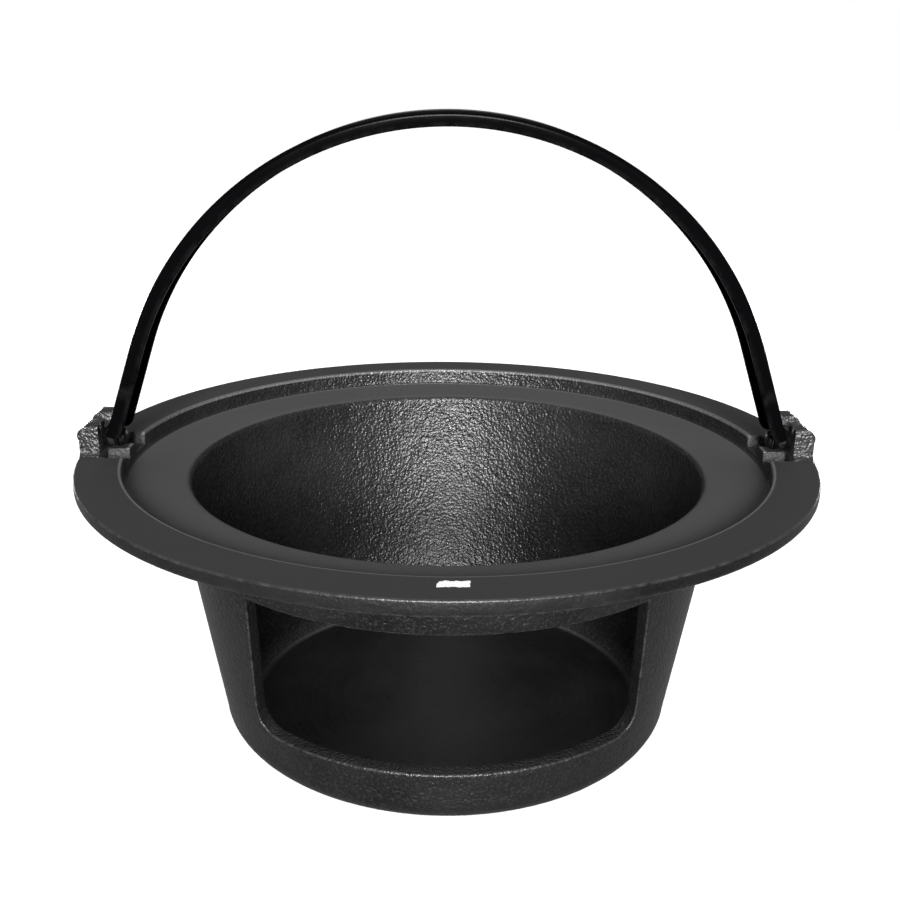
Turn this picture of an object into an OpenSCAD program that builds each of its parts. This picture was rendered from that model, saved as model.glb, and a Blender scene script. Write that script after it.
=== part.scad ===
// Cast iron charcoal forge: one flanged casting with a fire window, carried by a swinging bail.
// Millimetres. +Z up, the fire window faces -Y, the ears are on +X and -X.
// The origin is the centre of the base, on the surface that the forge stands on.

/* [Casting] */
// Radius of the flat rim
rim_r = 150; // [146:0.5:154]
// Height of the rim's top face
rim_top = 124; // [118:0.5:130]
// Thickness of the rim's edge
rim_t = 5.5; // [4.5:0.1:6.5]
// Radius of the step down into the pan seat
seat_r = 132; // [129:0.5:133]
// Depth of the pan seat below the rim
seat_depth = 7.5; // [6:0.1:8]
// Radius of the bowl's mouth
mouth_r = 108; // [104:0.5:110]
// Thickness of the bowl's wall
wall = 6.2; // [5.5:0.1:7]
// Outer radius of the wall just above the base curve
low_r = 96; // [93:0.5:98]
// Outer radius of the wall under the pan seat
high_r = 111; // [109:0.5:113]
// Radius of the flat base
base_r = 66; // [60:0.5:72]
// Height of the outer curve between base and wall
base_curve = 16.5; // [14:0.5:18]
// Height of the bowl's floor
floor_z = 8.5; // [7.5:0.1:9.5]

/* [Fire window] */
// Width of the window
window_w = 144; // [138:1:148]
// Height of the sill
sill_z = 29.5; // [27:0.5:34]
// Height of the lintel
lintel_z = 91; // [86:0.5:93]
// Radius of the window's lower corners
window_corner = 11; // [8:0.5:13]

/* [Ears] */
// Distance from the centre plane to an ear's inner face
ear_in = 141; // [141:0.1:141.6]
// Distance from the centre plane to an ear's outer face
ear_out = 149; // [148:0.1:149.2]
// Height of an ear's two humps above the rim
ear_h = 12.3; // [11:0.1:14]
// Thickness of one hump
hump_t = 10; // [8:0.1:11]
// Gap between the two humps
hump_gap = 10; // [8:0.1:11]
// Height of the bridge between the humps, above the rim
bridge_h = 8.5; // [8:0.1:10]
// Half of the length of the two notches beside an ear
notch_half = 17.5; // [17.2:0.1:19]
// Depth of the notches below the rim
notch_depth = 5; // [4.8:0.1:5.2]
// Half of the width of the block that stands between the notches
block_half = 4.5; // [4:0.1:4.6]
// Depth of the block's top below the rim
block_drop = 0.7; // [0.6:0.1:1]

/* [Bail handle] */
// Outer radius of the handle's bow
bow_r = 134.4; // [134:0.1:134.5]
// Angle that each leg leans outward, towards its ear
splay = 18.25; // [17.8:0.05:18.3]
// Width of the steel channel
channel_w = 19.5; // [18.5:0.1:19.8]
// Depth of the channel's flanges
channel_d = 6; // [5:0.1:6.5]
// Thickness of the sheet steel
sheet_t = 1.6; // [1.4:0.1:1.8]
// Width of the slots that part the pivot tongue from the flanges
relief_w = 4; // [3.9:0.1:4.2]

/* [Pivots] */
// Height of the pivot above the rim
pivot_h = 3.8; // [3.7:0.1:4]
// Diameter of the rivet's shank
shank_d = 5; // [4.5:0.1:5.4]
// Radial running clearance between the shank and the handle
running = 0.08; // [0.05:0.01:0.1]
// Diameter of the rivet's outer head
head_d = 6.4; // [6:0.1:7]
// Height of the rivet's outer head
head_h = 5.2; // [4.6:0.1:5.6]
// Diameter of the rivet's closed end, inside the handle
closed_d = 6.8; // [6.4:0.1:7.2]
// Height of the rivet's closed end
closed_h = 2.2; // [1.8:0.1:2.4]
// Outer diameter of the spacer between the ear and the handle
spacer_d = 8; // [7.6:0.1:8.2]
// Thickness of the spacer
spacer_t = 3; // [2.9:0.1:3]
// Outer diameter of the burr washer under the closed end
burr_d = 8; // [7.6:0.1:8.2]
// Thickness of the burr washer
burr_t = 0.8; // [0.6:0.1:0.8]

/* [Hidden] */
$fn = 96;
over = 1;
arc_steps = 8;
pivot_z = rim_top + pivot_h;
seat_z = rim_top - seat_depth;
under_z = seat_z - wall;
ring_under_z = rim_top - rim_t;
mouth_round = 3;
edge_round = 1.2;
inner_low_r = low_r - wall;
inner_high_r = mouth_r - mouth_round;
floor_round = 8;
boss_drop = 4.5;
boss_in = seat_r + 1;
boss_out = 146;
boss_half = notch_half + 4;
play = 0.2;
bow_z = rim_top + 1;
leg_top_z = bow_z + bow_r * sin(splay);
flange_end_z = rim_top + 6.2;
slot_top_z = rim_top + 26;
leg_len = (leg_top_z - flange_end_z) / cos(splay);
slot_len = (slot_top_z - flange_end_z) / cos(splay);
flange_round = 4;
tongue_w = channel_w - 2 * sheet_t - 2 * relief_w;
tongue_out = ear_in - spacer_t - play;
tongue_in = tongue_out - sheet_t;
bend_z = leg_top_z - (tongue_out - bow_r * cos(splay)) / tan(splay);
bend_in_z = bend_z - (sheet_t / cos(splay) - sheet_t) / tan(splay);

iron = [0.13, 0.13, 0.13];
paint = [0.05, 0.05, 0.05];
steel = [0.3, 0.3, 0.31];

// Points on an elliptical arc about [cx, cz], from angle a to angle b.
function arc(cx, cz, rx, rz, a, b) =
    [for (i = [0:arc_steps]) let (t = a + (b - a) * i / arc_steps) [cx + rx * cos(t), cz + rz * sin(t)]];

// A disc, a wall that leans outward, a pan seat and a flat rim, as one turned outline.
function casting_outline() = concat(
    [[0, 0]],
    arc(base_r, base_curve, low_r - base_r, base_curve, -90, 0),
    arc(high_r + 5, under_z - 5, 5, 5, 180, 90),
    [[seat_r + 2, under_z], [seat_r + 4, ring_under_z - 1.5], [seat_r + 6, ring_under_z]],
    arc(rim_r - edge_round, ring_under_z + edge_round, edge_round, edge_round, -90, 0),
    arc(rim_r - edge_round, rim_top - edge_round, edge_round, edge_round, 0, 90),
    [[seat_r, rim_top], [seat_r - 0.5, seat_z]],
    arc(mouth_r, seat_z - mouth_round, mouth_round, mouth_round, 90, 180),
    arc(inner_low_r - floor_round, floor_z + floor_round, floor_round, floor_round, 0, -90),
    [[0, floor_z]]);

// The window's void: a flat sill, round lower corners and upright sides, cut straight from the front.
module window_void() {
    side = window_w / 2;
    corner_x = side - window_corner;
    rotate([90, 0, 0]) linear_extrude(high_r + 8) polygon(concat(
        arc(corner_x, sill_z + window_corner, window_corner, window_corner, -90, 0),
        [[side, lintel_z], [-side, lintel_z]],
        arc(-corner_x, sill_z + window_corner, window_corner, window_corner, 180, 270)));
}

// One hump of an ear, seen from the front, with its outer top corner rounded.
module hump_outline(height) {
    corner = 4;
    width = ear_out - ear_in;
    square([width, height - corner]);
    square([width - corner, height]);
    translate([width - corner, height - corner]) circle(r = corner);
}

// The ear on the +X side: two humps, the bridge between them and its pad below the rim.
module ear() {
    root = rim_t / 2;
    for (side = [-1, 1])
        translate([ear_in, side * (hump_gap + hump_t) / 2 + hump_t / 2, rim_top - root])
            rotate([90, 0, 0]) linear_extrude(hump_t) hump_outline(ear_h + root);
    translate([ear_in, -hump_gap / 2 - over, rim_top - root])
        cube([ear_out - ear_in, hump_gap + 2 * over, bridge_h + root]);
    translate([boss_in, -boss_half, ring_under_z - boss_drop])
        cube([boss_out - boss_in, 2 * boss_half, boss_drop + rim_t / 2]);
}

// The notches that let the handle's flanges swing, the relief on the block, and the rivet's hole.
module ear_voids() {
    for (y = [-notch_half, block_half])
        translate([seat_r - 4, y, rim_top - notch_depth])
            cube([ear_in - seat_r + 4, notch_half - block_half, notch_depth + over]);
    translate([seat_r - 4, -block_half - over, rim_top - block_drop])
        cube([ear_in - seat_r + 4, 2 * block_half + 2 * over, block_drop + over]);
    translate([ear_in - over, 0, pivot_z])
        rotate([0, 90, 0]) cylinder(d = shank_d, h = ear_out - ear_in + 2 * over);
}

module stove_body() {
    color(iron) difference() {
        union() {
            rotate_extrude() polygon(casting_outline());
            for (turn = [0, 180])
                rotate([0, 0, turn]) ear();
        }
        window_void();
        for (turn = [0, 180])
            rotate([0, 0, turn]) ear_voids();
    }
}

// The channel's section, with the web at the outside of the bow.
module channel_section() {
    translate([bow_r - sheet_t, -channel_w / 2]) square([sheet_t, channel_w]);
    for (y = [-channel_w / 2, channel_w / 2 - sheet_t])
        translate([bow_r - channel_d, y]) square([channel_d, sheet_t]);
}

// One flange of a leg, whose inner corner is rounded at the free end.
module flange_outline() {
    translate([0, flange_round]) square([channel_d, leg_len - flange_round]);
    translate([flange_round, 0]) square([channel_d - flange_round, leg_len]);
    translate([flange_round, flange_round]) circle(r = flange_round);
}

// The tongue runs on from the web and bends upright, to lie flat beside the ear.
function tongue_outline() = [
    [bow_r * cos(splay) + (leg_top_z - slot_top_z) * tan(splay), slot_top_z],
    [tongue_out, bend_z],
    [tongue_out, pivot_z - tongue_w],
    [tongue_in, pivot_z - tongue_w],
    [tongue_in, bend_in_z],
    [bow_r * cos(splay) + (leg_top_z - slot_top_z) * tan(splay) - sheet_t / cos(splay), slot_top_z]];

module tongue() {
    difference() {
        intersection() {
            rotate([90, 0, 0]) linear_extrude(tongue_w, center = true) polygon(tongue_outline());
            union() {
                translate([tongue_in - over, 0, pivot_z])
                    rotate([0, 90, 0]) cylinder(d = tongue_w, h = sheet_t + 2 * over);
                translate([bow_r * cos(splay) - channel_d, -tongue_w / 2, pivot_z])
                    cube([channel_d * 4, tongue_w, slot_top_z - pivot_z]);
            }
        }
        translate([tongue_in - over, 0, pivot_z])
            rotate([0, 90, 0]) cylinder(d = shank_d + 2 * running, h = sheet_t + 2 * over);
    }
}

// The leg on the +X side, from the end of the bow down to the pivot.
module leg() {
    translate([0, 0, bow_z]) rotate([0, -splay, 0]) {
        for (y = [-channel_w / 2 + sheet_t, channel_w / 2])
            translate([bow_r - channel_d, y, -leg_len])
                rotate([90, 0, 0]) linear_extrude(sheet_t) flange_outline();
        translate([bow_r - sheet_t, -channel_w / 2, slot_len - leg_len])
            cube([sheet_t, channel_w, leg_len - slot_len]);
    }
    tongue();
}

module bail_handle() {
    color(paint) {
        translate([0, 0, bow_z]) rotate([90, 0, 0]) rotate([0, 0, splay])
            rotate_extrude(angle = 180 - 2 * splay) channel_section();
        leg();
        mirror([1, 0, 0]) leg();
    }
}

// A round head of diameter d and height h on z = 0, with straight sides up to land.
module dome(d, h, land) {
    cap_h = h - land;
    cap_r = (d * d / 4 + cap_h * cap_h) / (2 * cap_h);
    cylinder(d = d, h = land);
    intersection() {
        translate([0, 0, land]) cylinder(d = d, h = cap_h);
        translate([0, 0, h - cap_r]) sphere(r = cap_r);
    }
}

// The rivet on the +X side, with its made head outside and its closed end in the handle.
module rivet() {
    closed_x = tongue_in - play - burr_t;
    color(steel) translate([0, 0, pivot_z]) {
        translate([closed_x - over, 0, 0])
            rotate([0, 90, 0]) cylinder(d = shank_d, h = ear_out - closed_x + 2 * over);
        translate([ear_out, 0, 0]) rotate([0, 90, 0]) dome(head_d, head_h, head_h * 0.55);
        translate([closed_x, 0, 0]) rotate([0, -90, 0]) dome(closed_d, closed_h, closed_h * 0.35);
    }
}

// A flat ring on the rivet, from x to x + t.
module ring_on_rivet(x, d, t) {
    translate([x, 0, pivot_z]) rotate([0, 90, 0]) difference() {
        cylinder(d = d, h = t);
        translate([0, 0, -over]) cylinder(d = shank_d, h = t + 2 * over);
    }
}

module spacer() {
    color(steel) ring_on_rivet(ear_in - spacer_t, spacer_d, spacer_t);
}

module burr_washer() {
    color(steel) ring_on_rivet(tongue_in - play - burr_t, burr_d, burr_t);
}

module right_rivet() { rivet(); }
module left_rivet() { mirror([1, 0, 0]) rivet(); }
module right_spacer() { spacer(); }
module left_spacer() { mirror([1, 0, 0]) spacer(); }
module right_burr_washer() { burr_washer(); }
module left_burr_washer() { mirror([1, 0, 0]) burr_washer(); }

stove_body();
bail_handle();
right_rivet();
left_rivet();
right_spacer();
left_spacer();
right_burr_washer();
left_burr_washer();
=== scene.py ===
import math

import bmesh
import bpy
from mathutils import Matrix, Vector


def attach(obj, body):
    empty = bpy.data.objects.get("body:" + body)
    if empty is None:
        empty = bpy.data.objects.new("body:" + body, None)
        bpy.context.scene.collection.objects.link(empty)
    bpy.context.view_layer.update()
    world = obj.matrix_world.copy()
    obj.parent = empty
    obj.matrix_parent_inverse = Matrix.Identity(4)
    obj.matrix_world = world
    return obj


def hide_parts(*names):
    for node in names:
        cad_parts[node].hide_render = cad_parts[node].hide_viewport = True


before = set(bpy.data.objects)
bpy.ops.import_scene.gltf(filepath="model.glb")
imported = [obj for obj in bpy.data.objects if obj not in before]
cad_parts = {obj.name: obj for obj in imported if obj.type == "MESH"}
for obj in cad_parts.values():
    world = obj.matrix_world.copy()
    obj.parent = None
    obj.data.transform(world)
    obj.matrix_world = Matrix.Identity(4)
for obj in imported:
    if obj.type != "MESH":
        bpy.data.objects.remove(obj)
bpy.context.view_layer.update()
mm = 0.001
print("frame loaded:", sorted(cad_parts))


def smoothStep(x):
    x = max(0.0, min(1.0, x))
    return x * x * (3 - 2 * x)


def arcPoints(centre, radii, start, end, steps):
    # points on an elliptical arc in the turning plane, angles in degrees
    points = []
    for i in range(steps + 1):
        t = math.radians(start + (end - start) * i / steps)
        points.append((centre[0] + radii[0] * math.cos(t), centre[1] + radii[1] * math.sin(t)))
    return points


def line(start, end, step):
    # points between start and end, both left out, about one step apart
    count = max(1, round(math.dist(start, end) / step))
    return [tuple(a + (b - a) * i / count for a, b in zip(start, end)) for i in range(1, count)]


def addWire(bm, coords, closed):
    verts = [bm.verts.new(co) for co in coords]
    pairs = list(zip(verts, verts[1:]))
    if closed:
        pairs.append((verts[-1], verts[0]))
    return verts + [bm.edges.new(pair) for pair in pairs]


def copyMirrored(bm, geom):
    # a second copy on the -X side
    copied = bmesh.ops.duplicate(bm, geom=geom)["geom"]
    verts = [g for g in copied if isinstance(g, bmesh.types.BMVert)]
    bmesh.ops.scale(bm, vec=(-1, 1, 1), verts=verts)
    bmesh.ops.reverse_faces(bm, faces=[g for g in copied if isinstance(g, bmesh.types.BMFace)])


def markEdges(bm, low=12, high=22):
    # "wear" is 1 on convex edges and 0 on open surfaces
    layer = bm.verts.layers.float.new("wear")
    bm.normal_update()
    for vert in bm.verts:
        turn = max((math.degrees(e.calc_face_angle_signed(0)) for e in vert.link_edges), default=0)
        vert[layer] = smoothStep((turn - low) / (high - low))


def makePiece(name, bm, material, body, replaced, sharp=38):
    mesh = bpy.data.meshes.new(name)
    bm.to_mesh(mesh)
    bm.free()
    piece = bpy.data.objects.new(name, mesh)
    bpy.context.scene.collection.objects.link(piece)
    mesh.materials.append(material)
    mesh.shade_smooth()
    mesh.set_sharp_from_angle(angle=math.radians(sharp))
    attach(piece, body)
    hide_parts(*replaced)
    print("made", name, "with", len(mesh.polygons), "faces")
    return piece


def turnedPiece(outline, steps=48):
    # an outline of (x, radius) pairs, turned about the X axis
    bm = bmesh.new()
    wire = addWire(bm, [(x, 0, r) for x, r in outline], closed=False)
    bmesh.ops.spin(bm, geom=wire, cent=(0, 0, 0), axis=(1, 0, 0), angle=math.tau, steps=steps,
                   use_merge=True)
    bmesh.ops.remove_doubles(bm, verts=bm.verts[:], dist=0.01 * mm)
    bmesh.ops.recalc_face_normals(bm, faces=bm.faces[:])
    return bm


def newGroup(name, inputs, outputs):
    tree = bpy.data.node_groups.new(name, "ShaderNodeTree")
    for label, kind, value in inputs:
        socket = tree.interface.new_socket(name=label, in_out="INPUT", socket_type=kind)
        if value is not None:
            socket.default_value = value
    for label, kind in outputs:
        tree.interface.new_socket(name=label, in_out="OUTPUT", socket_type=kind)
    return tree, tree.nodes.new("NodeGroupInput"), tree.nodes.new("NodeGroupOutput")


def addNode(tree, kind, **values):
    # a node with its settings and its input defaults; an input's name has no spaces here
    node = tree.nodes.new(kind)
    for key, value in values.items():
        if hasattr(node, key):
            setattr(node, key, value)
        else:
            node.inputs[key.replace("_", " ")].default_value = value
    return node


def mathNode(tree, operation, first, second=None, third=None, clamp=False):
    node = tree.nodes.new("ShaderNodeMath")
    node.operation = operation
    node.use_clamp = clamp
    for slot, value in enumerate((first, second, third)):
        if isinstance(value, (int, float)):
            node.inputs[slot].default_value = value
        elif value is not None:
            tree.links.new(value, node.inputs[slot])
    return node.outputs[0]


def rampNode(tree, source, stops):
    ramp = tree.nodes.new("ShaderNodeValToRGB")
    ramp.color_ramp.elements[0].position, shade = stops[0]
    ramp.color_ramp.elements[0].color = (shade, shade, shade, 1)
    ramp.color_ramp.elements[1].position, shade = stops[-1]
    ramp.color_ramp.elements[1].color = (shade, shade, shade, 1)
    for position, shade in stops[1:-1]:
        ramp.color_ramp.elements.new(position).color = (shade, shade, shade, 1)
    tree.links.new(source, ramp.inputs["Fac"])
    return ramp.outputs["Color"]


def sandGrainGroup():
    # the orange-peel skin that a sand mould leaves
    tree, into, out = newGroup("sandGrain",
                               [("Place", "NodeSocketVector", None), ("Size", "NodeSocketFloat", 700.0)],
                               [("Height", "NodeSocketFloat"), ("Peaks", "NodeSocketFloat")])
    fine = addNode(tree, "ShaderNodeTexNoise", Detail=1.0, Roughness=0.55)
    coarse = addNode(tree, "ShaderNodeTexNoise", Detail=2.0, Roughness=0.5)
    bumps = addNode(tree, "ShaderNodeTexVoronoi", feature="SMOOTH_F1", Smoothness=0.6)
    tree.links.new(into.outputs["Place"], fine.inputs["Vector"])
    tree.links.new(into.outputs["Place"], coarse.inputs["Vector"])
    tree.links.new(into.outputs["Place"], bumps.inputs["Vector"])
    tree.links.new(into.outputs["Size"], fine.inputs["Scale"])
    tree.links.new(mathNode(tree, "MULTIPLY", into.outputs["Size"], 0.16), coarse.inputs["Scale"])
    tree.links.new(mathNode(tree, "MULTIPLY", into.outputs["Size"], 0.75), bumps.inputs["Scale"])
    grains = mathNode(tree, "MULTIPLY_ADD", bumps.outputs["Distance"], -0.55, fine.outputs["Fac"])
    skin = mathNode(tree, "MULTIPLY_ADD", coarse.outputs["Fac"], 0.9, grains)
    tree.links.new(skin, out.inputs["Height"])
    peaks = rampNode(tree, grains, [(0.24, 0.0), (0.46, 1.0)])
    tree.links.new(peaks, out.inputs["Peaks"])
    return tree


def edgeWearGroup():
    # breaks up the worn edges, so that the paint is thin in places and whole in others
    tree, into, out = newGroup("edgeWear",
                               [("Place", "NodeSocketVector", None), ("Edge", "NodeSocketFloat", 0.0),
                                ("Amount", "NodeSocketFloat", 0.5)],
                               [("Worn", "NodeSocketFloat")])
    ragged = addNode(tree, "ShaderNodeTexNoise", Scale=260.0, Detail=4.0, Roughness=0.65)
    tree.links.new(into.outputs["Place"], ragged.inputs["Vector"])
    broken = rampNode(tree, ragged.outputs["Fac"], [(0.38, 0.0), (0.62, 1.0)])
    worn = mathNode(tree, "MULTIPLY", into.outputs["Edge"], broken)
    tree.links.new(mathNode(tree, "MULTIPLY", worn, into.outputs["Amount"], clamp=True),
                   out.inputs["Worn"])
    return tree


def dustGroup():
    # slow patches of dull and clean surface, from handling
    tree, into, out = newGroup("dullPatches",
                               [("Place", "NodeSocketVector", None), ("Size", "NodeSocketFloat", 30.0)],
                               [("Patch", "NodeSocketFloat")])
    slow = addNode(tree, "ShaderNodeTexNoise", Detail=5.0, Roughness=0.6, Distortion=0.4)
    tree.links.new(into.outputs["Place"], slow.inputs["Vector"])
    tree.links.new(into.outputs["Size"], slow.inputs["Scale"])
    patch = rampNode(tree, slow.outputs["Fac"], [(0.32, 0.0), (0.68, 1.0)])
    tree.links.new(patch, out.inputs["Patch"])
    return tree


sandGrain = sandGrainGroup()
edgeWear = edgeWearGroup()
dullPatches = dustGroup()


def placeGroup(tree, group, **values):
    node = tree.nodes.new("ShaderNodeGroup")
    node.node_tree = group
    for key, value in values.items():
        node.inputs[key].default_value = value
    return node


def mixColour(tree, factor, first, second):
    mix = tree.nodes.new("ShaderNodeMix")
    mix.data_type = "RGBA"
    tree.links.new(factor, mix.inputs["Factor"])
    for socket, value in ((mix.inputs["A"], first), (mix.inputs["B"], second)):
        if isinstance(value, tuple):
            socket.default_value = (*value, 1)
        else:
            tree.links.new(value, socket)
    return mix.outputs["Result"]


ironLook = {
    "coat": (0.004, 0.004, 0.0042),  # black heat-proof coating
    "coatDull": (0.009, 0.009, 0.0093),  # where it has been rubbed dull
    "grainTops": (0.012, 0.012, 0.0123),  # the tops of the sand grain
    "flats": (0.017, 0.017, 0.0175),  # the smooth rim
    "seat": (0.042, 0.042, 0.043),  # the seat, paler than the rim
    "stepHighlight": (0.090, 0.090, 0.092),  # painted highlight: a pale line along the rounded edge of the step
    "floor": (0.085, 0.085, 0.086),  # the polished floor, a weak mirror
    "bareIron": (0.10, 0.10, 0.102),  # iron that shows on worn edges
    "paleMark": (0.80, 0.80, 0.79),  # the small pale spot on the front of the rim
    "gloss": 0.45,  # specular level of the coating
    "grainSize": 880.0,  # grains to the metre
    "grainHeight": 0.48 * mm,
    "roughOnWalls": 0.34,
    "roughOnFlats": 0.55,
    "roughOnFloor": 0.22,
    "bedDulling": 0.25,  # dust in the beds beside the ears
    "wear": 0.30,
    "spotPlace": (1.2, 138.2),  # millimetres to the right and in front
    "spotHalf": (5.0, 2.2),
}

castingSizes = {  # millimetres
    "rimRadius": 150.0, "rimTop": 124.0, "rimThickness": 5.5,
    "seatRadius": 132.0, "seatDepth": 7.5, "mouthRadius": 108.0, "mouthRound": 3.0,
    "wall": 6.2, "lowRadius": 96.0, "highRadius": 111.0,
    "baseRadius": 66.0, "baseCurve": 16.5, "floorHeight": 8.5, "floorRound": 8.0,
    "windowAngle": 46.0,  # degrees, before the sides are drawn upright
    "windowOuter": 73.2, "windowInner": 70.9,  # half widths at the two faces of the wall
    "sill": 29.5, "lintel": 91.0, "windowCorner": 11.0,
    "earInner": 141.0, "earOuter": 149.0, "earHeight": 12.3, "humpThickness": 10.0,
    "humpGap": 10.0, "bridgeHeight": 8.5, "earCorner": 4.0, "notchHalf": 17.5, "notchDepth": 5.0,
    "earFillet": 2.6, "earBrow": 1.6, "earEdge": 1.0,
    "wallLean": 0.163,  # outward, to one upward
    "blockHalf": 4.5, "blockDrop": 0.7, "padHalf": 21.0, "padDrop": 4.5,
}


def castIron():
    look, size = ironLook, castingSizes
    material = bpy.data.materials.new("castIron")
    material.use_nodes = True
    tree = material.node_tree
    shader = tree.nodes["Principled BSDF"]
    place = tree.nodes.new("ShaderNodeTexCoord").outputs["Object"]
    axes = tree.nodes.new("ShaderNodeSeparateXYZ")
    tree.links.new(place, axes.inputs[0])
    xOut, yOut, zOut = axes.outputs
    radius = mathNode(tree, "SQRT", mathNode(tree, "ADD", mathNode(tree, "POWER", xOut, 2.0),
                                             mathNode(tree, "POWER", yOut, 2.0)))
    edge = addNode(tree, "ShaderNodeAttribute", attribute_name="wear").outputs["Fac"]
    smooth = addNode(tree, "ShaderNodeAttribute", attribute_name="smooth").outputs["Fac"]

    grain = placeGroup(tree, sandGrain, Size=look["grainSize"])
    wear = placeGroup(tree, edgeWear, Amount=look["wear"])
    dull = placeGroup(tree, dullPatches, Size=26.0)
    for node in (grain, wear, dull):
        tree.links.new(place, node.inputs["Place"])
    tree.links.new(edge, wear.inputs["Edge"])

    # fine rubbing marks on the flats, which run round the casting
    around = mathNode(tree, "ARCTAN2", yOut, xOut)
    polar = tree.nodes.new("ShaderNodeCombineXYZ")
    tree.links.new(mathNode(tree, "MULTIPLY", around, 2.2), polar.inputs[0])
    tree.links.new(mathNode(tree, "MULTIPLY", radius, 900.0), polar.inputs[1])
    tree.links.new(mathNode(tree, "MULTIPLY", zOut, 900.0), polar.inputs[2])
    marks = addNode(tree, "ShaderNodeTexNoise", Scale=1.0, Detail=3.0, Roughness=0.6)
    tree.links.new(polar.outputs[0], marks.inputs["Vector"])

    # the pale spot: an oblong on the front of the rim with a ragged outline
    ragged = addNode(tree, "ShaderNodeTexNoise", Scale=420.0, Detail=3.0)
    tree.links.new(place, ragged.inputs["Vector"])
    spread = mathNode(tree, "MULTIPLY_ADD", ragged.outputs["Fac"], 2.6 * mm, -1.3 * mm)
    across = mathNode(tree, "ABSOLUTE", mathNode(tree, "SUBTRACT", xOut, look["spotPlace"][0] * mm))
    along = mathNode(tree, "ABSOLUTE", mathNode(tree, "ADD", yOut, look["spotPlace"][1] * mm))
    inX = mathNode(tree, "LESS_THAN", mathNode(tree, "ADD", across, spread), look["spotHalf"][0] * mm)
    inY = mathNode(tree, "LESS_THAN", mathNode(tree, "ADD", along, spread), look["spotHalf"][1] * mm)
    high = mathNode(tree, "GREATER_THAN", zOut, (size["rimTop"] - 0.5) * mm)
    spot = mathNode(tree, "MULTIPLY", mathNode(tree, "MULTIPLY", inX, inY), high)

    colour = mixColour(tree, dull.outputs["Patch"], look["coat"], look["coatDull"])
    rest = mathNode(tree, "SUBTRACT", 1.0, mathNode(tree, "MULTIPLY", smooth, 0.9))
    outside = mathNode(tree, "GREATER_THAN", radius, (size["rimRadius"] - 1.0) * mm)
    level = mathNode(tree, "LESS_THAN", zOut, (size["rimTop"] + 0.2) * mm)
    rimEdge = mathNode(tree, "MULTIPLY", outside, level)
    rest = mathNode(tree, "MULTIPLY", rest, mathNode(tree, "MULTIPLY_ADD", rimEdge, -0.7, 1.0))
    upper = mathNode(tree, "GREATER_THAN", zOut, 0.1)
    lower = mathNode(tree, "SUBTRACT", 1.0, upper)
    floor = mathNode(tree, "MULTIPLY", mathNode(tree, "POWER", smooth, 3.0), lower)
    below = mathNode(tree, "LESS_THAN", zOut, (size["rimTop"] - 3) * mm)
    seat = mathNode(tree, "MULTIPLY", mathNode(tree, "MULTIPLY", smooth, upper), below)
    # painted highlight: a pale line mixed into the colour all round the rounded top edge of the step
    offStep = mathNode(tree, "ABSOLUTE", mathNode(tree, "SUBTRACT", radius, (size["seatRadius"] + 0.5) * mm))
    onStep = mathNode(tree, "MULTIPLY_ADD", offStep, -1000 / 0.5, 1.9, clamp=True)
    nearTop = mathNode(tree, "GREATER_THAN", zOut, (size["rimTop"] - 1.2) * mm)
    stepHighlight = mathNode(tree, "MULTIPLY", mathNode(tree, "MULTIPLY", onStep, nearTop), level)
    grainTops = mathNode(tree, "MULTIPLY", grain.outputs["Peaks"], rest)
    colour = mixColour(tree, grainTops, colour, look["grainTops"])
    colour = mixColour(tree, mathNode(tree, "MULTIPLY", smooth, upper), colour, look["flats"])
    colour = mixColour(tree, seat, colour, look["seat"])
    colour = mixColour(tree, stepHighlight, colour, look["stepHighlight"])
    colour = mixColour(tree, floor, colour, look["floor"])
    colour = mixColour(tree, wear.outputs["Worn"], colour, look["bareIron"])
    colour = mixColour(tree, spot, colour, look["paleMark"])
    tree.links.new(colour, shader.inputs["Base Color"])
    shader.inputs["Specular IOR Level"].default_value = look["gloss"]

    # smooth ground flats are glossier than the sand-cast walls
    base = mathNode(tree, "MULTIPLY_ADD", smooth, look["roughOnFlats"] - look["roughOnWalls"],
                    look["roughOnWalls"])
    rough = mathNode(tree, "MULTIPLY_ADD", dull.outputs["Patch"], 0.08, base)
    rubbed = mathNode(tree, "MULTIPLY", marks.outputs["Fac"], smooth)
    rough = mathNode(tree, "MULTIPLY_ADD", rubbed, 0.12, rough)
    rough = mathNode(tree, "MULTIPLY_ADD", wear.outputs["Worn"], -0.1, rough)
    farOut = mathNode(tree, "ABSOLUTE", xOut)
    inBed = mathNode(tree, "MULTIPLY", mathNode(tree, "GREATER_THAN", farOut, 126 * mm),
                     mathNode(tree, "LESS_THAN", farOut, (size["earInner"] + 0.3) * mm))
    inBed = mathNode(tree, "MULTIPLY", inBed, mathNode(tree, "MULTIPLY", level, upper))
    nearAxis = mathNode(tree, "LESS_THAN", mathNode(tree, "ABSOLUTE", yOut), 22 * mm)
    inBed = mathNode(tree, "MULTIPLY", inBed, nearAxis)
    rough = mathNode(tree, "MULTIPLY_ADD", mathNode(tree, "MULTIPLY", inBed, rest), look["bedDulling"], rough)
    rough = mathNode(tree, "MULTIPLY_ADD", floor, look["roughOnFloor"] - look["roughOnFlats"], rough,
                     clamp=True)
    tree.links.new(rough, shader.inputs["Roughness"])
    metal = mathNode(tree, "MAXIMUM", mathNode(tree, "MULTIPLY", wear.outputs["Worn"], 0.6), floor)
    tree.links.new(metal, shader.inputs["Metallic"])

    height = mathNode(tree, "MULTIPLY", grain.outputs["Height"], rest)
    height = mathNode(tree, "MULTIPLY_ADD", rubbed, 0.03, height)
    bump = addNode(tree, "ShaderNodeBump", Strength=1.0, Distance=look["grainHeight"])
    tree.links.new(height, bump.inputs["Height"])
    tree.links.new(bump.outputs["Normal"], shader.inputs["Normal"])
    return material


enamelLook = {
    "paint": (0.0012, 0.0012, 0.0014),
    "thinPaint": (0.02, 0.02, 0.021),  # on worn corners
    "gloss": 0.022,
    "roughness": 0.15,
    "wear": 0.2,
}


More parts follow.
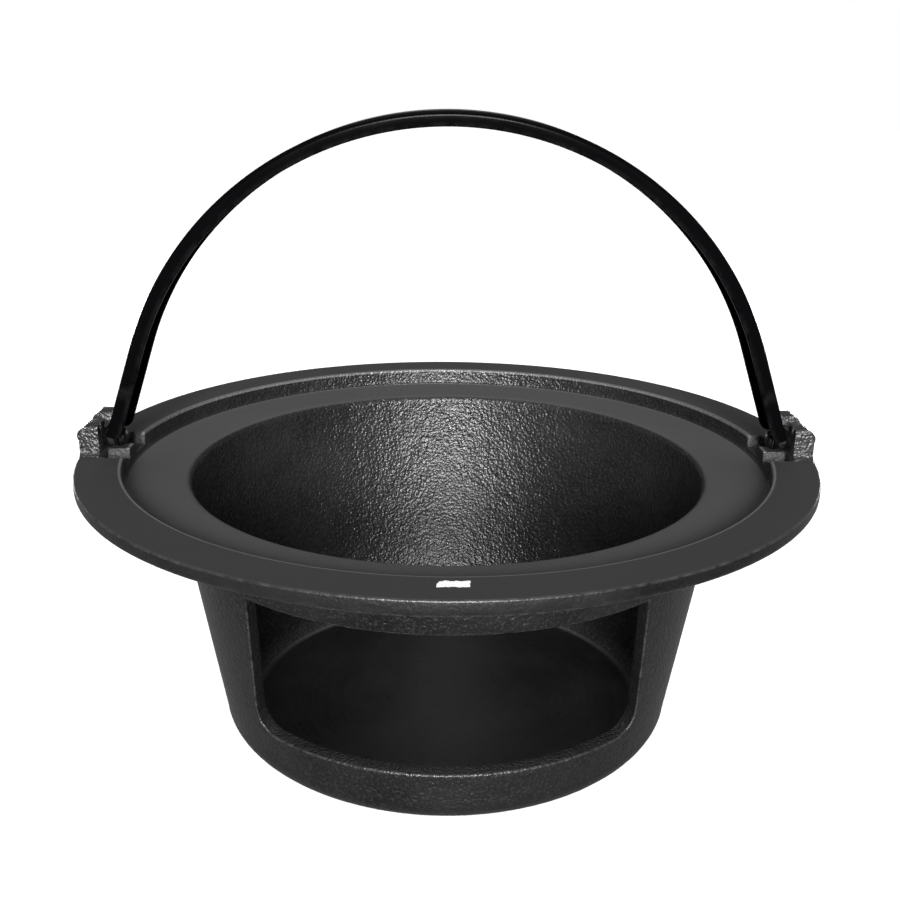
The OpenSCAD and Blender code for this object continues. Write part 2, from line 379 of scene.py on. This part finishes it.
def blackPaint(name, look, peel, patchSize):
    # gloss or satin black over steel, with a fine orange peel and dulled patches
    material = bpy.data.materials.new(name)
    material.use_nodes = True
    tree = material.node_tree
    shader = tree.nodes["Principled BSDF"]
    place = tree.nodes.new("ShaderNodeTexCoord").outputs["Object"]
    edge = addNode(tree, "ShaderNodeAttribute", attribute_name="wear").outputs["Fac"]
    wear = placeGroup(tree, edgeWear, Amount=look["wear"])
    dull = placeGroup(tree, dullPatches, Size=patchSize)
    ripple = addNode(tree, "ShaderNodeTexNoise", Scale=420.0, Detail=2.0, Roughness=0.5)
    for socket in (wear.inputs["Place"], dull.inputs["Place"], ripple.inputs["Vector"]):
        tree.links.new(place, socket)
    tree.links.new(edge, wear.inputs["Edge"])
    colour = mixColour(tree, wear.outputs["Worn"], look["paint"], look["thinPaint"])
    tree.links.new(colour, shader.inputs["Base Color"])
    shader.inputs["Specular IOR Level"].default_value = look["gloss"]
    rough = mathNode(tree, "MULTIPLY_ADD", dull.outputs["Patch"], 0.09, look["roughness"])
    tree.links.new(rough, shader.inputs["Roughness"])
    bump = addNode(tree, "ShaderNodeBump", Strength=1.0, Distance=peel)
    tree.links.new(ripple.outputs["Fac"], bump.inputs["Height"])
    tree.links.new(bump.outputs["Normal"], shader.inputs["Normal"])
    return material


pivotLook = {
    "paint": (0.004, 0.004, 0.004),
    "thinPaint": (0.05, 0.05, 0.05),
    "gloss": 0.14,
    "roughness": 0.32,
    "wear": 0.4,
}

ironMaterial = castIron()
bailMaterial = blackPaint("bailEnamel", enamelLook, 0.02 * mm, 45.0)
pivotMaterial = blackPaint("pivotSteel", pivotLook, 0.05 * mm, 120.0)
print("materials ready")


def castingOutline():
    # one loop from the middle of the base, up the outside and down the inside, in millimetres
    s = castingSizes
    seat = s["rimTop"] - s["seatDepth"]
    under = seat - s["wall"]
    ringUnder = s["rimTop"] - s["rimThickness"]
    innerLow = s["lowRadius"] - s["wall"]
    innerHigh = s["mouthRadius"] - s["mouthRound"]
    innerTop = seat - s["mouthRound"]
    innerFoot = s["floorHeight"] + s["floorRound"]
    levels = wallLevels()

    def outerAt(z):
        share = (z - s["baseCurve"]) / (under - 5 - s["baseCurve"])
        return s["lowRadius"] + (s["highRadius"] - s["lowRadius"]) * share

    def innerAt(z):
        share = (z - innerFoot) / (innerTop - innerFoot)
        return innerLow + (innerHigh - innerLow) * share

    points = [(0, 0), (22, 0), (44, 0)]
    points += arcPoints((s["baseRadius"], s["baseCurve"]), (s["lowRadius"] - s["baseRadius"], s["baseCurve"]),
                        -90, 0, 14)
    points += [(outerAt(z), z) for z in levels]
    points += arcPoints((s["highRadius"] + 5, under - 5), (5, 5), 180, 90, 5)
    points += line((s["highRadius"] + 5, under), (s["seatRadius"] + 1, under), 5)
    points += arcPoints((s["seatRadius"] + 1.2, under + 2), (2, 2), -90, -10, 4)
    points += line((s["seatRadius"] + 3.2, under + 1.7), (s["seatRadius"] + 4, ringUnder - 2), 1.6)
    points += arcPoints((s["seatRadius"] + 6, ringUnder - 2), (2, 2), 180, 90, 4)
    points += line((s["seatRadius"] + 6, ringUnder), (s["rimRadius"] - 2, ringUnder), 0.9)
    points += arcPoints((s["rimRadius"] - 2, ringUnder + 2), (2, 2), -90, 0, 6)
    points += line((s["rimRadius"], ringUnder + 2), (s["rimRadius"], s["rimTop"] - 0.8), 1.2)
    points += arcPoints((s["rimRadius"] - 0.8, s["rimTop"] - 0.8), (0.8, 0.8), 0, 90, 4)
    points += line((s["rimRadius"] - 0.8, s["rimTop"]), (s["seatRadius"] + 0.9, s["rimTop"]), 0.65)
    points += arcPoints((s["seatRadius"] + 0.9, s["rimTop"] - 0.9), (0.9, 0.9), 90, 180, 4)
    points += line((s["seatRadius"], s["rimTop"] - 0.9), (s["seatRadius"] - 0.4, seat + 1.6), 0.8)
    points += arcPoints((s["seatRadius"] - 2, seat + 1.6), (1.6, 1.6), 0, -90, 5)
    points += line((s["seatRadius"] - 2, seat), (s["mouthRadius"], seat), 4)
    points += arcPoints((s["mouthRadius"], innerTop), (s["mouthRound"], s["mouthRound"]), 90, 180, 7)
    points += [(innerAt(z), z) for z in reversed(levels)]
    points += arcPoints((innerLow - s["floorRound"], innerFoot), (s["floorRound"], s["floorRound"]),
                        0, -90, 8)
    return points + [(55, s["floorHeight"]), (28, s["floorHeight"]), (0, s["floorHeight"])]


def wallLevels():
    # heights of the rings on both walls: some fall on the window's sill and lintel
    s = castingSizes
    corner = s["sill"] + s["windowCorner"]
    steps = [22.0, 26.0, s["sill"]]
    steps += [s["sill"] + s["windowCorner"] * i / 5 for i in range(1, 6)]
    steps += [corner + (s["lintel"] - corner) * i / 13 for i in range(1, 14)]
    return steps + [94.5, 98.5]


def columnSectors():
    # angles round the casting: finer beside the ears, and split at the window's sides
    half = castingSizes["windowAngle"]
    fine = 10
    return [(2 * half, 60), (90 - half - fine, 24), (2 * fine, 64), (180 - 2 * fine, 104),
            (2 * fine, 64), (90 - half - fine, 24)]


def frontAngle(co):
    return math.degrees(math.atan2(co.x, -co.y))


def shapeWindow(bm):
    # draws the window's sides upright and its square lower corners round
    s = castingSizes
    corner, reach, side = s["windowCorner"], 13.0, s["windowAngle"]
    for vert in bm.verts:
        radius, z = math.hypot(vert.co.x, vert.co.y) / mm, vert.co.z / mm
        angle = abs(frontAngle(vert.co))
        if radius < 84 or z < 17 or z > 104 or angle > 80:
            continue
        middle = s["lowRadius"] - s["wall"] / 2 + (z - s["baseCurve"]) * s["wallLean"]
        half = s["windowOuter"] if radius > middle else s["windowInner"]
        upright = math.degrees(math.asin(min(1, half / radius))) - side
        share = angle / side if angle < side else (80 - angle) / (80 - side)
        angle += upright * share * smoothStep((z - 17) / 9) * smoothStep((104 - z) / 10)

        u = math.radians(side + upright - angle) * radius
        v = z - s["sill"]
        edge = min(max(v if u <= v else u, 0), corner)
        near, turn = ((0, edge), 45 * (1 - edge / corner)) if u <= v else ((edge, 0), 45 + 45 * edge / corner)
        turn = math.radians(turn)
        weight = smoothStep(1 - math.dist((u, v), near) / reach)
        u += (corner * (1 - math.cos(turn)) - near[0]) * weight
        dz = (corner * (1 - math.sin(turn)) - near[1]) * weight
        radius += dz * s["wallLean"]  # the walls lean outward
        angle = math.radians(math.copysign(side + upright - math.degrees(u / radius), frontAngle(vert.co)))
        vert.co = Vector((math.sin(angle) * radius, -math.cos(angle) * radius, z + dz)) * mm


def cutWindow(bm):
    s = castingSizes
    doomed = []
    for face in bm.faces:
        centre = face.calc_center_median()
        radius, z = math.hypot(centre.x, centre.y) / mm, centre.z / mm
        if radius > 80 and s["sill"] < z < s["lintel"] and abs(frontAngle(centre)) < s["windowAngle"]:
            doomed.append(face)
    bmesh.ops.delete(bm, geom=doomed, context="FACES")
    shapeWindow(bm)
    loops = [e for e in bm.edges if e.is_boundary]
    bmesh.ops.bridge_loops(bm, edges=loops)
    return [e for e in bm.edges if e in set(loops)]


def roundWindowLip(bm, loops):
    s = castingSizes
    middle = (s["lowRadius"] + s["highRadius"]) / 2 - s["wall"] / 2
    for outer, offset in ((True, 0.9), (False, 0.7)):
        chosen = []
        for edge in loops:
            if not edge.is_valid:
                continue
            spot = (edge.verts[0].co + edge.verts[1].co) / 2 / mm
            wallMiddle = middle + (spot.z - 60) * s["wallLean"]
            if (math.hypot(spot.x, spot.y) > wallMiddle) == outer:
                chosen.append(edge)
        bmesh.ops.bevel(bm, geom=chosen, offset=offset * mm, offset_type="OFFSET", affect="EDGES",
                        segments=4, profile=0.5, material=-1, clamp_overlap=True)


def shapeEarBeds(bm):
    # sinks two notches beside each ear into the rim, and drops the pad under them
    s = castingSizes
    for vert in bm.verts:
        x, y, z = abs(vert.co.x) / mm, vert.co.y / mm, vert.co.z / mm
        radius = math.hypot(x, y)
        if radius < s["seatRadius"] - 0.7 or abs(y) > 26 or vert.co.x == 0:
            continue
        angle = math.atan2(y, x)
        if z > s["rimTop"] - s["notchDepth"] - 0.01:
            straight = smoothStep((radius - 133) / 6) * smoothStep((148 - radius) / 5)
            radius += straight * (radius / math.cos(angle) - radius)  # the ear's foot is flat
            x, y = radius * math.cos(angle), radius * math.sin(angle)
            inside = min(s["notchHalf"] - 0.2 - abs(y), s["earInner"] + 0.35 - x)
            notch = min(inside, abs(y) - s["blockHalf"] + 0.65)
            z = min(z, s["rimTop"] - s["notchDepth"] * smoothStep((notch + 0.3) / 0.9),
                    s["rimTop"] - s["blockDrop"] * smoothStep((inside + 0.3) / 0.9))
        elif radius > s["seatRadius"] + 1.2:
            pad = smoothStep((s["padHalf"] - abs(y)) / 2) * smoothStep((147.5 - radius) / 2)
            z = min(z, s["rimTop"] - s["rimThickness"] - s["padDrop"] * pad)
        vert.co = Vector((math.copysign(x, vert.co.x), y, z)) * mm


def addEar(bm):
    # the +X ear: two humps and a bridge, with a fillet where they grow out of the rim
    s = castingSizes
    ear = bmesh.new()
    half = s["humpGap"] / 2 + s["humpThickness"]
    gap = s["humpGap"] / 2
    root = -5.6
    outline = [(-half, root), (-half, s["earHeight"]), (-gap, s["earHeight"]), (-gap, s["bridgeHeight"]),
               (gap, s["bridgeHeight"]), (gap, s["earHeight"]), (half, s["earHeight"]), (half, root)]
    wire = addWire(ear, [(s["earInner"], y, z) for y, z in outline], closed=True)
    face = ear.faces.new([g for g in wire if isinstance(g, bmesh.types.BMVert)])
    grown = bmesh.ops.extrude_face_region(ear, geom=[face])["geom"]
    width = s["earOuter"] - s["earInner"]
    bmesh.ops.translate(ear, vec=(width, 0, 0), verts=[g for g in grown if isinstance(g, bmesh.types.BMVert)])
    bmesh.ops.recalc_face_normals(ear, faces=ear.faces[:])

    def edgesWhere(test):
        return [e for e in ear.edges if test((e.verts[0].co + e.verts[1].co) / 2, e)]

    shoulders = edgesWhere(lambda c, e: abs(c.x - s["earOuter"]) < 0.1 and c.z > s["earHeight"] - 0.1)
    bmesh.ops.bevel(ear, geom=shoulders, offset=s["earCorner"], offset_type="OFFSET", affect="EDGES",
                    segments=10, profile=0.5, material=-1)
    brows = edgesWhere(lambda c, e: abs(abs(c.y) - half) < 0.1 and c.z > s["earHeight"] - 0.1)
    bmesh.ops.bevel(ear, geom=brows, offset=s["earBrow"], offset_type="OFFSET", affect="EDGES", segments=6,
                    profile=0.5, material=-1)
    sharp = edgesWhere(lambda c, e: c.z > root + 0.1 and e.calc_face_angle(0) > math.radians(40))
    bmesh.ops.bevel(ear, geom=sharp, offset=s["earEdge"], offset_type="OFFSET", affect="EDGES", segments=4,
                    profile=0.5, material=-1, clamp_overlap=True)
    fillet = s["earFillet"]
    for share in (1.0, 0.72, 0.48, 0.28, 0.12, 0.02):
        geom = ear.verts[:] + ear.edges[:] + ear.faces[:]
        bmesh.ops.bisect_plane(ear, geom=geom, plane_co=(0, 0, fillet * share), plane_no=(0, 0, 1))
    for vert in ear.verts:
        co = vert.co
        if co.z > fillet or co.x < s["earInner"] + 0.4 and abs(co.y) < half - 0.4:
            continue  # the inner face stays flat, beside the spacer
        share = 1 - max(co.z, 0.0) / fillet
        flare = fillet * (1 - math.sqrt(max(0.0, 1 - share * share)))
        inward = Vector((max(s["earInner"] + 1, min(s["earOuter"] - 1, co.x)),
                         max(1 - half, min(half - 1, co.y)), co.z))
        away = co - inward
        away.x = max(away.x, 0)
        if away.length > 0.01:
            co += away.normalized() * flare
        reach = math.hypot(co.x, co.y)
        if reach > s["rimRadius"] - 0.25:
            co.x *= (s["rimRadius"] - 0.25) / reach
    for vert in ear.verts:
        vert.co.z += s["rimTop"]
    bmesh.ops.scale(ear, vec=(mm, mm, mm), verts=ear.verts[:])
    carrier = bpy.data.meshes.new("earShape")
    ear.to_mesh(carrier)
    ear.free()
    before = set(bm.verts)
    bm.from_mesh(carrier)
    bpy.data.meshes.remove(carrier)
    fresh = [v for v in bm.verts if v not in before]
    faces = list({f for v in fresh for f in v.link_faces})
    edges = list({e for v in fresh for e in v.link_edges})
    copyMirrored(bm, fresh + edges + faces)


def markSmooth(bm):
    # "smooth" is 1 on the flats: the rim's top, the pan seat and the floor
    s = castingSizes
    layer = bm.verts.layers.float.new("smooth")
    seat = s["rimTop"] - s["seatDepth"]
    for vert in bm.verts:
        radius, z = math.hypot(vert.co.x, vert.co.y) / mm, vert.co.z / mm
        upward = smoothStep((vert.normal.z - 0.8) / 0.15)
        onRim = abs(z - s["rimTop"]) < 0.3 and radius > s["seatRadius"]
        onSeat = abs(z - seat) < 0.3
        onFloor = abs(z - s["floorHeight"]) < 3 and radius < 86
        vert[layer] = upward if onRim or onSeat or onFloor else 0.0


def makeCasting():
    bm = bmesh.new()
    start = math.radians(-90 - castingSizes["windowAngle"])
    outline = [(r * math.cos(start) * mm, r * math.sin(start) * mm, z * mm) for r, z in castingOutline()]
    last = addWire(bm, outline, closed=False)
    for span, steps in columnSectors():
        last = bmesh.ops.spin(bm, geom=last, cent=(0, 0, 0), axis=(0, 0, 1), angle=math.radians(span),
                              steps=steps)["geom_last"]
    bmesh.ops.remove_doubles(bm, verts=bm.verts[:], dist=0.02 * mm)
    bmesh.ops.recalc_face_normals(bm, faces=bm.faces[:])
    roundWindowLip(bm, cutWindow(bm))
    bmesh.ops.recalc_face_normals(bm, faces=bm.faces[:])
    shapeEarBeds(bm)
    addEar(bm)
    markEdges(bm)
    markSmooth(bm)
    return makePiece("castBody", bm, ironMaterial, "forge", ["stove_body"], sharp=50)


casting = makeCasting()


bailSizes = {  # millimetres
    "bowRadius": 134.4, "bowHeight": 125.0, "splay": 18.25,
    "width": 19.5, "depth": 6.0, "sheet": 1.6, "outerBend": 2.1, "innerBend": 0.6,
    "flangeEnd": 130.2, "slotTop": 150.0, "slotWidth": 4.0, "flangeRound": 4.0,
    "pivotHeight": 127.8, "tongueOuter": 137.8, "hole": 2.58,
}


def bendPoints(side, cut):
    # half of the channel's section from the web to the flange, as (distance, across) pairs;
    # cut is where the section starts, across the web
    b = bailSizes
    out, inside = b["bowRadius"], b["bowRadius"] - b["sheet"]
    half, tip = b["width"] / 2, b["bowRadius"] - b["depth"]
    inner = half - b["sheet"]
    outer = [(x, y) for x, y in arcPoints((out - b["outerBend"], half - b["outerBend"]),
                                          (b["outerBend"], b["outerBend"]), 0, 90, 6)]
    path = [(out, cut)] if cut < half - b["outerBend"] - 0.05 else []
    path += [p for p in outer if p[1] >= cut - 1e-6]
    path += line((out - b["outerBend"], half), (tip + 0.4, half), 1.6) + [(tip + 0.4, half)]
    path += [(tip, half - 0.4), (tip, inner + 0.4), (tip + 0.4, inner)]
    path += line((tip + 0.4, inner), (inside - b["innerBend"], inner), 1.6)
    if cut < inner - b["innerBend"]:
        path += arcPoints((inside - b["innerBend"], inner - b["innerBend"]),
                          (b["innerBend"], b["innerBend"]), 90, 0, 3)
        path += [(inside, cut)]
    else:
        path += [(inside, inner)]
    return [(x, side * y) for x, y in path]


def legStart():
    # the place where the bow runs into a leg: a turn about the bow's centre
    b = bailSizes
    return Matrix.Translation((0, 0, b["bowHeight"])) @ Matrix.Rotation(-math.radians(b["splay"]), 4, "Y")


def addBow(bm):
    b = bailSizes
    rightHalf, leftHalf = bendPoints(1, 0.0), bendPoints(-1, 0.0)
    section = rightHalf + list(reversed(leftHalf))[1:-1]
    place = legStart()
    wire = addWire(bm, [place @ Vector((x, y, 0)) for x, y in section], closed=True)
    first = [g for g in wire if isinstance(g, bmesh.types.BMEdge)]
    splay = math.radians(b["splay"])
    last = bmesh.ops.spin(bm, geom=wire, cent=(0, 0, b["bowHeight"]), axis=(0, -1, 0),
                          angle=math.pi - 2 * splay, steps=110)["geom_last"]
    run = (b["bowHeight"] + b["bowRadius"] * math.sin(splay) - b["slotTop"]) / math.cos(splay)
    for edges, side in ((first, 1), ([g for g in last if isinstance(g, bmesh.types.BMEdge)], -1)):
        for _ in range(6):
            grown = bmesh.ops.extrude_edge_only(bm, edges=edges)["geom"]
            move = Vector((side * math.sin(splay), 0, -math.cos(splay))) * run / 6
            bmesh.ops.translate(bm, vec=move, verts=[g for g in grown if isinstance(g, bmesh.types.BMVert)])
            edges = [g for g in grown if isinstance(g, bmesh.types.BMEdge)]
        bmesh.ops.contextual_create(bm, geom=edges)  # closes the end of the web, above the slots


def addFlange(bm, side):
    # one flange of the +X leg, below the top of the slot
    b = bailSizes
    splay = math.radians(b["splay"])
    place = legStart()
    legTop = b["bowHeight"] + b["bowRadius"] * math.sin(splay)
    top = (legTop - b["slotTop"]) / math.cos(splay)
    end = (legTop - b["flangeEnd"]) / math.cos(splay)
    section = bendPoints(side, b["width"] / 2 - b["sheet"])
    wire = addWire(bm, [place @ Vector((x, y, -top)) for x, y in section], closed=True)
    first = face = bm.faces.new([g for g in wire if isinstance(g, bmesh.types.BMVert)])
    distances = [top + (end - b["flangeRound"] - top) * i / 4 for i in range(1, 5)]
    distances += [end - b["flangeRound"] * (1 - math.sin(math.radians(a))) for a in (20, 38, 54, 68, 80, 90)]
    here = top
    tips = {}
    for distance in distances:
        grown = bmesh.ops.extrude_face_region(bm, geom=[face])["geom"]
        fresh = [g for g in grown if isinstance(g, bmesh.types.BMVert)]
        move = place.to_3x3() @ Vector((0, 0, here - distance))
        bmesh.ops.translate(bm, vec=move, verts=fresh)
        old = face
        face = next(g for g in grown if isinstance(g, bmesh.types.BMFace))
        if old is not first and old.is_valid:
            bm.faces.remove(old)
        here = distance
        left = max(0.0, end - distance)
        if left < b["flangeRound"] - 0.01:
            depth = b["flangeRound"] - math.sqrt(b["flangeRound"] ** 2 - (b["flangeRound"] - left) ** 2)
            limit = b["bowRadius"] - b["depth"] + depth
            for vert in fresh:
                local = place.inverted() @ vert.co
                if local.x < limit:
                    local.x = limit + 0.3 * (local.x - (b["bowRadius"] - b["depth"])) / b["depth"]
                    tips[vert] = place @ local
    for vert, spot in tips.items():
        vert.co = spot


def addTongue(bm):
    # a flat tongue with a round eye, which bends up to meet the web of the leg
    b = bailSizes
    splay = math.radians(b["splay"])
    half = b["width"] / 2 - b["sheet"] - b["slotWidth"]
    around = 40
    before = set(bm.faces)
    turned = Matrix.Translation((b["tongueOuter"], 0, b["pivotHeight"])) \
        @ Matrix.Rotation(math.pi / 2, 4, "Y")
    eye = bmesh.ops.create_circle(bm, segments=around, radius=b["hole"], matrix=turned)["verts"]
    rim = bmesh.ops.create_circle(bm, segments=around, radius=half, matrix=turned)["verts"]
    bm.edges.index_update()
    edges = list({e for v in eye + rim for e in v.link_edges})
    for vert in rim:
        y, z = vert.co.y, vert.co.z - b["pivotHeight"]
        if z > 0.001:  # the upper half of the outline is square
            grow = half / max(abs(y), abs(z))
            vert.co.y, vert.co.z = y * grow, b["pivotHeight"] + z * grow
    bmesh.ops.bridge_loops(bm, edges=edges)
    topLine = b["pivotHeight"] + half - 0.01
    top = [e for e in bm.edges if e.is_boundary and all(v.co.z > topLine and v in set(rim) for v in e.verts)]
    webAtSlot = b["bowRadius"] * math.cos(splay) + \
        (b["bowHeight"] + b["bowRadius"] * math.sin(splay) - b["slotTop"]) * math.tan(splay)
    bend = b["slotTop"] - (b["tongueOuter"] - webAtSlot) / math.tan(splay)
    stops = [(b["tongueOuter"], bend - 1.2), (b["tongueOuter"] - 0.12, bend + 0.1)]
    stops += [(b["tongueOuter"] - (z - bend) * math.tan(splay), z)
              for z in (bend + 1.4, bend + 6, b["slotTop"])]
    for x, z in stops:
        grown = bmesh.ops.extrude_edge_only(bm, edges=top)["geom"]
        for vert in (g for g in grown if isinstance(g, bmesh.types.BMVert)):
            vert.co.x, vert.co.z = x, z
        top = [g for g in grown if isinstance(g, bmesh.types.BMEdge)]
    faces = [f for f in bm.faces if f not in before]
    bmesh.ops.recalc_face_normals(bm, faces=faces)
    if faces[0].normal.x < 0:
        bmesh.ops.reverse_faces(bm, faces=faces)
    bmesh.ops.solidify(bm, geom=faces, thickness=b["sheet"])


def makeBail():
    bm = bmesh.new()
    for side in (1, -1):
        addFlange(bm, side)
    addTongue(bm)
    copyMirrored(bm, bm.verts[:] + bm.edges[:] + bm.faces[:])
    addBow(bm)
    bmesh.ops.recalc_face_normals(bm, faces=bm.faces[:])
    bmesh.ops.scale(bm, vec=(mm, mm, mm), verts=bm.verts[:])
    markEdges(bm, low=12, high=40)
    return makePiece("bailHandle", bm, bailMaterial, "bail", ["bail_handle"], sharp=40)


bail = makeBail()


pivotSizes = {  # millimetres
    "shank": 2.5, "headRadius": 3.2, "headHeight": 5.2, "closedRadius": 3.4, "closedHeight": 2.2,
    "earInner": 141.0, "earOuter": 149.0, "spacerRadius": 4.0, "spacerThickness": 3.0,
    "burrRadius": 4.0, "burrThickness": 0.8, "burrFace": 135.2, "height": 127.8,
}


def rivetOutline():
    # from the closed end, inside the handle, to the middle of the outer head
    p = pivotSizes
    closedTop = p["burrFace"] - p["closedHeight"]
    outline = [(closedTop, 0)]
    outline += arcPoints((p["burrFace"] - 0.7, 0), (p["closedHeight"] - 0.7, p["closedRadius"]), 172, 90, 9)
    outline += [(p["burrFace"] - 0.2, p["closedRadius"]), (p["burrFace"], p["closedRadius"] - 0.25)]
    outline += [(p["burrFace"], p["shank"]), (p["earOuter"], p["shank"])]
    outline += [(p["earOuter"], p["headRadius"] - 0.3), (p["earOuter"] + 0.3, p["headRadius"])]
    outline += arcPoints((p["earOuter"] + 2.6, 0), (p["headHeight"] - 2.6, p["headRadius"]), 90, 8, 9)
    return outline + [(p["earOuter"] + p["headHeight"], 0)]


def washerOutline(x, radius, thickness):
    # a flat ring with softened corners, as a closed section
    hole, soft = pivotSizes["shank"], 0.22
    return [(x, hole), (x, radius - soft), (x + soft, radius), (x + thickness - soft, radius),
            (x + thickness, radius - soft), (x + thickness, hole), (x, hole)]


def makePivots():
    p = pivotSizes
    spacerFace = p["earInner"] - p["spacerThickness"]
    kinds = {
        "rivet": rivetOutline(),
        "spacer": washerOutline(spacerFace, p["spacerRadius"], p["spacerThickness"]),
        "burr_washer": washerOutline(p["burrFace"], p["burrRadius"], p["burrThickness"]),
    }
    for kind, outline in kinds.items():
        for side, sign in (("right", 1), ("left", -1)):
            bm = turnedPiece([(x * mm, r * mm) for x, r in outline])
            bmesh.ops.scale(bm, vec=(sign, 1, 1), verts=bm.verts[:])
            bmesh.ops.translate(bm, vec=(0, 0, p["height"] * mm), verts=bm.verts[:])
            bmesh.ops.recalc_face_normals(bm, faces=bm.faces[:])
            markEdges(bm, low=12, high=40)
            node = side + "_" + kind
            makePiece(side + kind.title().replace("_", ""), bm, pivotMaterial, "forge", [node])


makePivots()


studio = {
    "floorColour": (0.90, 0.90, 0.90),
    "floorGlow": 0.20,  # keeps the paper white at its far end
    "backdrop": 1.0,  # what the camera sees behind the floor
    "fill": 0.09,  # the light that comes from all round
    "horizon": 0.30,  # a pale band low behind the forge, seen in the rim's far side
    "key": 8.6,
    "keyHeight": 19,  # degrees above the level, in front
    "keySpread": 18,
    "sideLight": 0.5,
    "backLight": 12.0,  # two low boxes behind, under the rim's level
    "topLight": 8.0,
}


def makeFloor():
    bm = bmesh.new()
    bmesh.ops.create_grid(bm, x_segments=2, y_segments=2, size=6)
    mesh = bpy.data.meshes.new("studioFloor")
    bm.to_mesh(mesh)
    bm.free()
    floor = bpy.data.objects.new("studioFloor", mesh)
    bpy.context.scene.collection.objects.link(floor)
    material = bpy.data.materials.new("palePaper")
    material.use_nodes = True
    shader = material.node_tree.nodes["Principled BSDF"]
    shader.inputs["Base Color"].default_value = (*studio["floorColour"], 1)
    shader.inputs["Roughness"].default_value = 0.9
    shader.inputs["Emission Color"].default_value = (1, 1, 1, 1)
    shader.inputs["Emission Strength"].default_value = studio["floorGlow"]
    mesh.materials.append(material)
    floor.visible_glossy = False  # no pale glare on the black iron's sides


def addLight(name, kind, place, power):
    # a light that points at the middle of the forge
    data = bpy.data.lights.new(name, kind)
    data.energy = power
    lamp = bpy.data.objects.new(name, data)
    lamp.location = place
    lamp.rotation_euler = (Vector((0, 0, 0.1)) - Vector(place)).to_track_quat("-Z", "Y").to_euler()
    lamp.visible_camera = False
    bpy.context.scene.collection.objects.link(lamp)
    return data


def makeWorld():
    # white for the camera, and a weak even light for everything else
    world = bpy.data.worlds.new("studioWorld")
    world.use_nodes = True
    tree = world.node_tree
    back = tree.nodes["Background"]
    seen = tree.nodes.new("ShaderNodeLightPath").outputs["Is Camera Ray"]
    aim = tree.nodes.new("ShaderNodeSeparateXYZ")
    tree.links.new(tree.nodes.new("ShaderNodeTexCoord").outputs["Generated"], aim.inputs[0])
    low = mathNode(tree, "MULTIPLY_ADD", aim.outputs["Z"], -5.0, 1.7, clamp=True)
    behind = mathNode(tree, "MULTIPLY", aim.outputs["Y"], 1.0, clamp=True)
    band = mathNode(tree, "MULTIPLY", mathNode(tree, "MULTIPLY", low, behind), studio["horizon"])
    around = mathNode(tree, "ADD", band, studio["fill"])
    unseen = mathNode(tree, "MULTIPLY", around, mathNode(tree, "SUBTRACT", 1.0, seen))
    strength = mathNode(tree, "MULTIPLY_ADD", seen, studio["backdrop"], unseen)
    back.inputs["Color"].default_value = (1, 1, 1, 1)
    tree.links.new(strength, back.inputs["Strength"])
    bpy.context.scene.world = world


def makeStudio():
    makeWorld()
    height = math.radians(studio["keyHeight"])
    key = addLight("key", "SUN", (0, -3 * math.cos(height), 0.1 + 3 * math.sin(height)), studio["key"])
    key.angle = math.radians(studio["keySpread"])
    top = addLight("topSoftbox", "AREA", (0, 0.2, 1.6), studio["topLight"])
    top.size = 1.2
    for side in (-1, 1):
        for name, x, y, z, tall in (("sideLight", 1.3, -0.2, 0.6, 0.9), ("backLight", 0.9, 1.3, 0.06, 0.11)):
            box = addLight(name, "AREA", (side * x, y, z), studio[name])
            box.shape = "RECTANGLE"
            box.size, box.size_y = 0.4, tall


cameraSetting = {
    "distance": 3.087,  # in rim radii, in front of the middle
    "height": 0.990,  # in rim radii, above the rim
    "tilt": 17.98,  # degrees below the level
    "roll": 0.487,
    "turn": -0.086,  # to the right, about the camera itself
    "aside": 0.44,  # millimetres to the right
    "around": -0.5,  # degrees round the forge, to the left
    "lens": 46.42,
}


def makeCamera():
    c, radius = cameraSetting, castingSizes["rimRadius"] * mm
    data = bpy.data.cameras.new("camera")
    data.lens = c["lens"]
    data.sensor_width = 36
    data.clip_end = 50
    camera = bpy.data.objects.new("camera", data)
    place = Matrix.Rotation(math.radians(c["around"]), 4, "Z") @ Matrix.Translation(
        (c["aside"] * mm, -c["distance"] * radius, castingSizes["rimTop"] * mm + c["height"] * radius))
    aim = Matrix.Rotation(math.radians(c["turn"]), 4, "Z") \
        @ Matrix.Rotation(math.radians(90 - c["tilt"]), 4, "X")
    camera.matrix_world = place @ aim @ Matrix.Rotation(math.radians(c["roll"]), 4, "Z")
    bpy.context.scene.collection.objects.link(camera)
    bpy.context.scene.camera = camera
    bpy.context.scene.view_settings.view_transform = "Standard"


makeFloor()
makeStudio()
makeCamera()
print("studio ready")
